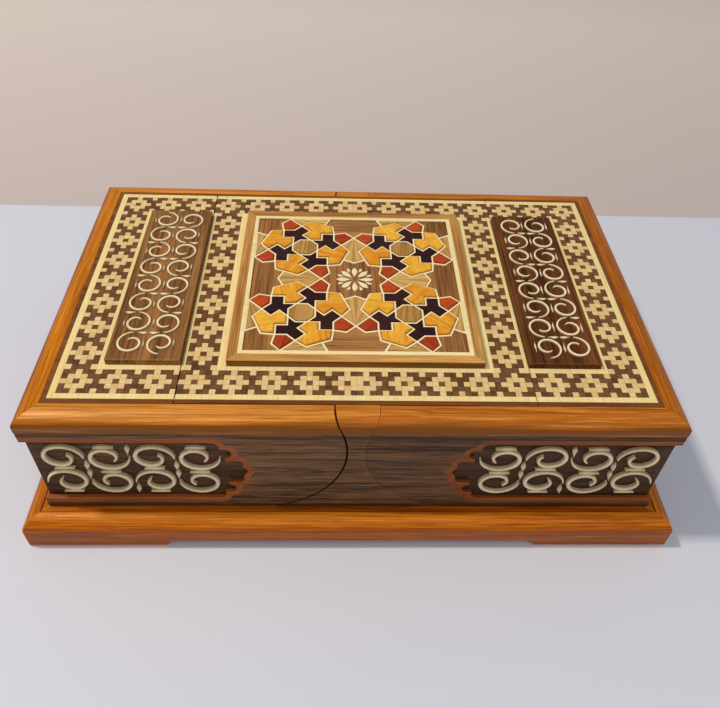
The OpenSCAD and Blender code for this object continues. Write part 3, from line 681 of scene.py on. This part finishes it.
def sector_tone(shade):
    """The veneers in the middle of the front and back are paler than the others."""
    darker, paler = 0.08, 0.4
    return darker - front_or_back(shade, shade.node("TexCoord", out=3), veneer_past) * paler


field_walnut = wood("medallion walnut", paint(182, 130, 74), paint(120, 73, 34), "y", 19, bands=70,
                    contrast=2.2, veins=0.6, vein_colour=paint(80, 46, 24), gloss=0.12, lay=by_sector,
                    veneer=sector_tone)
medallion_frame = wood("medallion frame wood", paint(226, 172, 94), paint(160, 106, 46), "y", 20,
                       contrast=2.2, veins=0.5, vein_colour=paint(110, 66, 28), lay=mitred)
# The front edge's tone is painted shade.
frame_tones = {"front": -0.1, "back": 0.4, "left": 0.25, "right": 0.5, "front edge": 1.4}


def frame_side(face):
    """The frame's sides are from darker boards than its front, and its front edge is darkened as painted
    shade.
    """
    middle = face.calc_center_median()
    if face.normal.y < -0.8:
        return frame_tones["front edge"]
    if abs(middle.y) > abs(middle.x):
        return frame_tones["front" if middle.y < 0 else "back"]
    return frame_tones["left" if middle.x < 0 else "right"]


eased("medallion_board", 0.2, field_walnut)
eased("medallion_frame", 0.8, medallion_frame, shaded=frame_side)
medallion_string = wood("medallion string", paint(252, 238, 182), paint(240, 216, 150), "x", 21,
                        contrast=1.0, edge=paint(190, 150, 90), edge_share=0.5)
eased("medallion_stringing", 0.2, medallion_string)

# Strapwork and tiles: an eight-fold star pattern of sawn tiles, each rounded over by hand, set between
# pale strips on the field. Amber tiles stand highest, then red, octagons, dark ones and fans.
cell, field_z, tile_spread = 41.1, 133.9, 0.3
field_half = 2 * cell
octagon_r, strap_out, strap_turn = 0.2506 * cell, 0.4623 * cell, 0.337 * cell
dark_reach, amber_reach, fan_l = 0.5888 * cell, 0.9075 * cell, 0.8346 * cell
eighth, amber_axis, dark_axis, amber_spread, fan_share = 22.5, 112.5, 157.5, 15.5, 0.62


def polar(r, a):
    """The point at a radius and an angle in degrees."""
    return Vector((r * math.cos(math.radians(a)), r * math.sin(math.radians(a))))


def turned(p, a):
    """A point turned by degrees."""
    return Matrix.Rotation(math.radians(a), 2) @ p


def mirrored(p, a):
    """A point mirrored in a line at an angle in degrees."""
    c, s = math.cos(math.radians(2 * a)), math.sin(math.radians(2 * a))
    return Vector((p.x * c + p.y * s, p.x * s - p.y * c))


def grown(outline, g):
    """An outline moved out by g on every side."""
    n = len(outline)
    area = sum(outline[i].cross(outline[(i + 1) % n]) for i in range(n))
    turn = 1 if area > 0 else -1
    normals = []
    for i in range(n):
        d = (outline[(i + 1) % n] - outline[i]).normalized()
        normals.append(Vector((d.y, -d.x)) * turn)
    return [outline[i] + g * (normals[i - 1] + normals[i]) / (1 + normals[i - 1].dot(normals[i]))
            for i in range(n)]


start = Vector((-octagon_r * math.tan(math.radians(eighth)), octagon_r))
strap = [start, Vector((-strap_turn, octagon_r)), Vector((-strap_turn, strap_out)),
         Vector((-dark_reach, strap_out))]
strap_end, strap_end_low = strap[3], mirrored(strap[3], dark_axis)
octagon = [polar(start.length, eighth + 45 * k) for k in range(8)]
dark_end = Vector((-dark_reach, dark_reach * math.tan(math.radians(eighth))))
dark = strap + [dark_end] + [mirrored(p, dark_axis) for p in strap[::-1]] + [polar(start.length, dark_axis)]
amber_corner = polar(amber_reach, amber_axis + amber_spread)
amber_half = [strap[1], strap[2], strap_end, amber_corner]
amber = [start] + amber_half + [mirrored(p, amber_axis) for p in amber_half[::-1]]
red_tip = Vector((-cell, cell - strap_out * math.sqrt(2)))
red_side = Vector((0.175 * cell - cell, strap_out + 0.046 * cell))
red = [dark_end, strap_end, red_side, red_tip, strap_end_low]
fan_corner = turned(mirrored(amber_corner, amber_axis), 90)
fan_bend = fan_corner + fan_share * (turned(amber_corner, 90) - fan_corner)
fan_tip = Vector((-cell, red_tip.y - fan_l))
fan_side = [strap_end_low, fan_corner, fan_bend]
fan_half = [red_tip] + fan_side + [fan_tip]
fan_whole = fan_half + [Vector((-2 * cell - p.x, p.y)) for p in fan_side[::-1]]


def repeated(outline, turns, rights=(1, -1), backs=(1, -1)):
    """An outline of the front left rosette, in its quarter turns and mirrored into the others."""
    found = []
    for right in rights:
        for back in backs:
            for k in turns:
                moved = [turned(p, 90 * k) - Vector((cell, cell)) for p in outline]
                found.append([Vector((right * p.x, back * p.y)) for p in moved])
    return found


def strap_work(outlines, half, height, cut):
    """Strips along every side of the outlines, mitred where they meet and chamfered on top."""
    knots, runs, ways = [], set(), {}
    near = 0.05

    def knot(p):
        for i, q in enumerate(knots):
            if (p - q).length < near:
                return i
        knots.append(p)
        return len(knots) - 1

    rings = [[knot(p) for p in outline] for outline in outlines]
    for ring in rings:
        for a, b in zip(ring, ring[1:] + ring[:1]):
            along = knots[b] - knots[a]
            between = []
            for k, p in enumerate(knots):
                reach = (p - knots[a]).dot(along) / along.length
                aside = abs(along.cross(p - knots[a])) / along.length
                if 2 * near < reach < along.length - 2 * near and aside < near:
                    between.append((reach, k))
            stops = [a] + [k for reach, k in sorted(between)] + [b]
            runs.update(tuple(sorted(pair)) for pair in zip(stops, stops[1:]))
    for a, b in sorted(runs):
        ways.setdefault(a, []).append(b)
        ways.setdefault(b, []).append(a)
    for k, ends in ways.items():
        ends.sort(key=lambda e: math.atan2(knots[e].y - knots[k].y, knots[e].x - knots[k].x))

    def corner(k, end, step, half):
        """Where a strip's edge meets the edge of the next strip round the knot, to its left or right."""
        ends = ways[k]
        other = ends[(ends.index(end) + step) % len(ends)]
        pair = (end, other) if step > 0 else (other, end)
        first, second = ((knots[e] - knots[k]).normalized() for e in pair)
        sine = first.cross(second)
        out = (first + second) / sine if abs(sine) > 0.001 else Vector((-first.y, first.x))
        p = knots[k] + out * half
        return (k, pair), Vector([max(-field_half, min(field_half, c)) for c in p])

    def middle(k):
        """A knot where three strips meet, or where one ends at the rim, is a corner of each."""
        at_rim = max(abs(c) for c in knots[k]) > field_half - near
        return [(k, knots[k])] if at_rim or len(ways[k]) > 2 else []

    def rim_reach(side):
        return sum(max(abs(c) for c in p) for name, p in side)

    work = bmesh.new()
    edge_faces, tones = work.faces.layers.float.new("edge"), work.faces.layers.float.new("tone")
    points = {}

    def point(name, p, z):
        """The strips that meet in a point share it."""
        if (name, z) not in points:
            points[name, z] = work.verts.new((p.x * MM, p.y * MM, (field_z + z) * MM))
        return points[name, z]

    for a, b in sorted(runs):
        along_rim = any(all(abs(knots[k][axis] - side * field_half) < near for k in (a, b))
                        for axis in (0, 1) for side in (-1, 1))
        tone = stick_tones.uniform(-tile_spread, tile_spread)
        rows = []
        for width, z in ((half, 0), (half, height - cut), (half - cut, height)):
            right = [corner(a, b, -1, width), corner(b, a, 1, width)]
            left = [corner(b, a, -1, width), corner(a, b, 1, width)]
            if along_rim:
                inner = min((right, left), key=rim_reach)
                outline = inner + (middle(b) + middle(a) if inner is right else middle(a) + middle(b))
            else:
                outline = right + middle(b) + left + middle(a)
            rows.append([point(name, p, z) for name, p in outline])
        made = [work.faces.new(rows[0][::-1]), work.faces.new(rows[-1])]
        for first, second in zip(rows, rows[1:]):
            for k in range(len(first)):
                n = (k + 1) % len(first)
                side = [first[k], first[n], second[n], second[k]]
                between = work.faces.get(side)
                if between:
                    work.faces.remove(between)
                else:
                    made.append(work.faces.new(side))
                    made[-1][edge_faces] = 1.0
        for face in made:
            face[tones] = tone
    bmesh.ops.delete(work, geom=[e for e in work.edges if e.is_wire], context="EDGES")
    bmesh.ops.recalc_face_normals(work, faces=work.faces)
    return work


def tile_work(outlines, levels, chance=25, straight=None):
    """Tiles that rise through levels of inset and height.

    Each tile keeps its own place for the grain: from its first corner, along its axis turned by so many
    degrees of chance, or along a straight direction.
    """
    strap_gap, edge_fade = 0.88, 0.45
    work = bmesh.new()
    edge_faces, tones = work.faces.layers.float.new("edge"), work.faces.layers.float.new("tone")
    lay = work.verts.layers.float_vector.new("lay")
    for outline in outlines:
        tone = stick_tones.uniform(-tile_spread, tile_spread)
        shift = stick_tones.uniform(0, 3)
        middle = sum(outline, Vector((0, 0))) / len(outline)
        if straight:
            axis = straight
        else:
            axis = turned((middle - outline[0]).normalized(), stick_tones.uniform(-chance, chance))
        rings = []
        for inset, up in levels:
            ring = []
            for p in grown(outline, -strap_gap - inset):
                vert = work.verts.new((p.x * MM, p.y * MM, (field_z + up) * MM))
                away = p - outline[0]
                depth = up * MM + (shift if chance else 0)
                vert[lay] = (away.cross(axis) * MM, away.dot(axis) * MM, depth)
                ring.append(vert)
            rings.append(ring)
        made = [work.faces.new(rings[0]), work.faces.new(rings[-1])]
        for level, (first, second) in enumerate(zip(rings, rings[1:])):
            for k in range(len(outline)):
                n = (k + 1) % len(outline)
                face = work.faces.new([first[k], first[n], second[n], second[k]])
                # The edge colour on the tiles' rounded sides, strongest near the field, is partly a dark
                # glue line and partly painted shade.
                face[edge_faces] = max(0, 1 - edge_fade * level)
                made.append(face)
        for face in made:
            face[tones] = tone
    bmesh.ops.recalc_face_normals(work, faces=work.faces)
    return work


def own_place(shade):
    """Places that each tile keeps for its own grain."""
    return shade.node("Attribute", {"attribute_name": "lay"}, out=1)


def fanned(shade):
    """Places for a grain that fans out from a tile's first corner."""
    fan_width, fan_run = 0.07, 0.3
    x, y, z = (shade.node("SeparateXYZ", inputs={0: own_place(shade)}, out=i) for i in range(3))
    angle = shade.math("ARCTAN2", x, y)
    return shade.node("CombineXYZ", inputs={0: angle * fan_width, 1: y * fan_run, 2: z})


fans = repeated(fan_whole, (2,), rights=(1,)) + repeated(fan_whole, (3,), backs=(1,))
fans += repeated(fan_half, (0, 1))
ambers, darks, reds = (repeated(outline, range(4)) for outline in (amber, dark, red))
octagons = repeated(octagon, (0,))
strap_wood = wood("strapwork", paint(255, 246, 200), paint(255, 236, 178), "x", 27, contrast=0.9,
                  edge=paint(214, 176, 120), edge_share=0.3)
strap_half, strap_rise, strap_cut = 0.7, 0.9, 0.12
every_tile = ambers + darks + reds + octagons + fans
stands_for(piece("strap_strips", strap_work(every_tile, strap_half, strap_rise, strap_cut), strap_wood),
           "strapwork")
# The tiles' dark edge colours are partly glue lines and partly painted shade on their rounded sides.
amber_wood = wood("amber tiles", paint(250, 194, 66), paint(220, 138, 26), "y", 22, lines=260, bands=110,
                  contrast=1.5, drawn=0.25, rough=0.42, edge=paint(112, 56, 12), edge_share=0.75,
                  lay=own_place)
amber_levels = [(0, 0), (0, 1.0), (0.2, 1.75), (0.7, 2.35), (1.3, 2.6)]
stands_for(piece("amber_tile_set", tile_work(ambers, amber_levels), amber_wood), "amber_tiles")
dark_wood = wood("dark tiles", paint(63, 31, 31), paint(31, 13, 13), "y", 23, contrast=1.6, gloss=0.12,
                 edge=paint(84, 54, 50), edge_share=0.25, lay=own_place)
dark_levels = [(0, 0), (0, 1.0), (0.15, 1.3), (0.4, 1.4)]
stands_for(piece("dark_tile_set", tile_work(darks, dark_levels), dark_wood), "dark_tiles")
red_wood = wood("red tiles", paint(198, 80, 28), paint(150, 46, 16), "y", 24, contrast=1.4,
                edge=paint(86, 18, 8), edge_share=0.7, lay=own_place)
red_levels = [(0, 0), (0, 0.9), (0.4, 1.5), (1.1, 2.0), (1.9, 2.2)]
stands_for(piece("red_tile_set", tile_work(reds, red_levels), red_wood), "red_tiles")
octagon_wood = wood("octagon tiles", paint(214, 168, 92), paint(150, 104, 48), "y", 25, lines=900,
                    contrast=2.0, veins=0.5, edge=paint(84, 52, 22), edge_share=0.7, lay=own_place)
octagon_levels, octagon_grain = [(0, 0), (0, 0.8), (0.2, 1.35), (0.8, 1.7)], Vector((0.1, 1))
octagon_set = tile_work(octagons, octagon_levels, straight=octagon_grain)
stands_for(piece("octagon_tile_set", octagon_set, octagon_wood), "octagon_tiles")
fan_wood = wood("fan tiles", paint(230, 190, 112), paint(172, 124, 58), "y", 26, lines=900, bands=120,
                contrast=2.0, veins=0.4, vein_colour=paint(116, 74, 32), edge=paint(96, 62, 28),
                edge_share=0.6, lay=fanned)
fan_levels = [(0, 0), (0, 0.8), (0.1, 1.05), (0.35, 1.2)]
stands_for(piece("fan_tile_set", tile_work(fans, fan_levels, chance=0), fan_wood), "fan_tiles")

# Rosette: two rings of pale leaves, sawn and rounded over as the scrolls are. It is glued in the middle of
# the medallion, where the original has lettering.
long_leaf, short_leaf, leaf_rise = (2.25, 12.75, 4.5), (9, 6, 2.4), 1.0
petals = []
for (radius, length, width), first in ((long_leaf, 0), (short_leaf, 22.5)):
    petals += [leaf(polar(radius, 45 * k + first), 45 * k + first, length, width) for k in range(8)]
work = bmesh.new()
carve(work, petals, leaf_section, leaf_rise, lambda flat, up: Vector((flat.x, flat.y, field_z + up)))
stands_for(piece("middle_rosette", work, board_relief), "centre_rosette")

# Studio: a plain pale floor that turns to a warmer backdrop behind the box, a small strong lamp above and
# to the left, a broad weak one in front, and the camera, fitted to the box's straight edges in the photo.
floor_finish, shade, ends = new_finish("pale floor")
place = shade.node("TexCoord", out=3)
depth = shade.node("SeparateXYZ", inputs={0: place}, out=1)
floor_end, backdrop_rise, speckle_share = 0.297, 1.6, 0.08
behind = shade.math("GREATER_THAN", depth, floor_end)
speckle = noise(shade, place, (6, 6, 6), seed=51, detail=3)
# The backdrop is darker and warmer next to the floor, as painted shade in the corner.
far = ((depth - floor_end) * backdrop_rise).clamped()
backdrop = blend(shade, far, paint(204, 190, 183), paint(232, 219, 206))
floor_colour = blend(shade, behind, paint(217, 221, 231), backdrop)
floor_colour = blend(shade, speckle * speckle_share, floor_colour, paint(190, 188, 190))
shade.tree.links.new(floor_colour.socket, ends["Base Color"])
ends["Roughness"].default_value = 0.6
work = bmesh.new()
bmesh.ops.create_grid(work, x_segments=2, y_segments=2, size=4.0)
floor = piece("studio_floor", work, floor_finish)

world = bpy.data.worlds.new("studio light")
bpy.context.scene.world = world
world.use_nodes = True
sky = world.node_tree.nodes["Background"].inputs
sky["Color"].default_value, sky["Strength"].default_value = (0.92, 1.0, 1.12, 1.0), 0.34
lamp_colour, lamp_aim = (1.0, 0.88, 0.78), Vector((0, 0, 0.1))
for name, spot, size, watts in (
        ("lamp above left", (-1.565, 0.115, 2.887), 0.25, 56),
        ("lamp in front", (0.2, -1.25, 1.75), 1.3, 9)):
    lamp = bpy.data.lights.new(name, "AREA")
    lamp.energy, lamp.size, lamp.color = watts, size, lamp_colour
    held = bpy.data.objects.new(name, lamp)
    held.location = spot
    held.rotation_euler = (lamp_aim - Vector(spot)).to_track_quat("-Z", "Y").to_euler()
    bpy.context.scene.collection.objects.link(held)

camera = bpy.data.objects.new("camera", bpy.data.cameras.new("camera"))
camera_place = (-0.01882, -0.44287, 0.49564)
camera.data.lens, camera.data.sensor_width = 35.37, 36.0
camera.data.clip_start, camera.data.clip_end = 0.01, 50.0
tilt, pan, roll = math.radians(45.172), math.radians(3.386), math.radians(2.994)
ahead = Vector((math.sin(pan) * math.cos(tilt), math.cos(pan) * math.cos(tilt), -math.sin(tilt)))
level = Vector((math.cos(pan), -math.sin(pan), 0))
upward = level.cross(ahead)
right = level * math.cos(roll) + upward * math.sin(roll)
top = upward * math.cos(roll) - level * math.sin(roll)
facing = Matrix((right, top, -ahead)).transposed().to_4x4()
camera.matrix_world = Matrix.Translation(camera_place) @ facing
bpy.context.scene.collection.objects.link(camera)
bpy.context.scene.camera = camera
bpy.context.scene.view_settings.view_transform = "Standard"
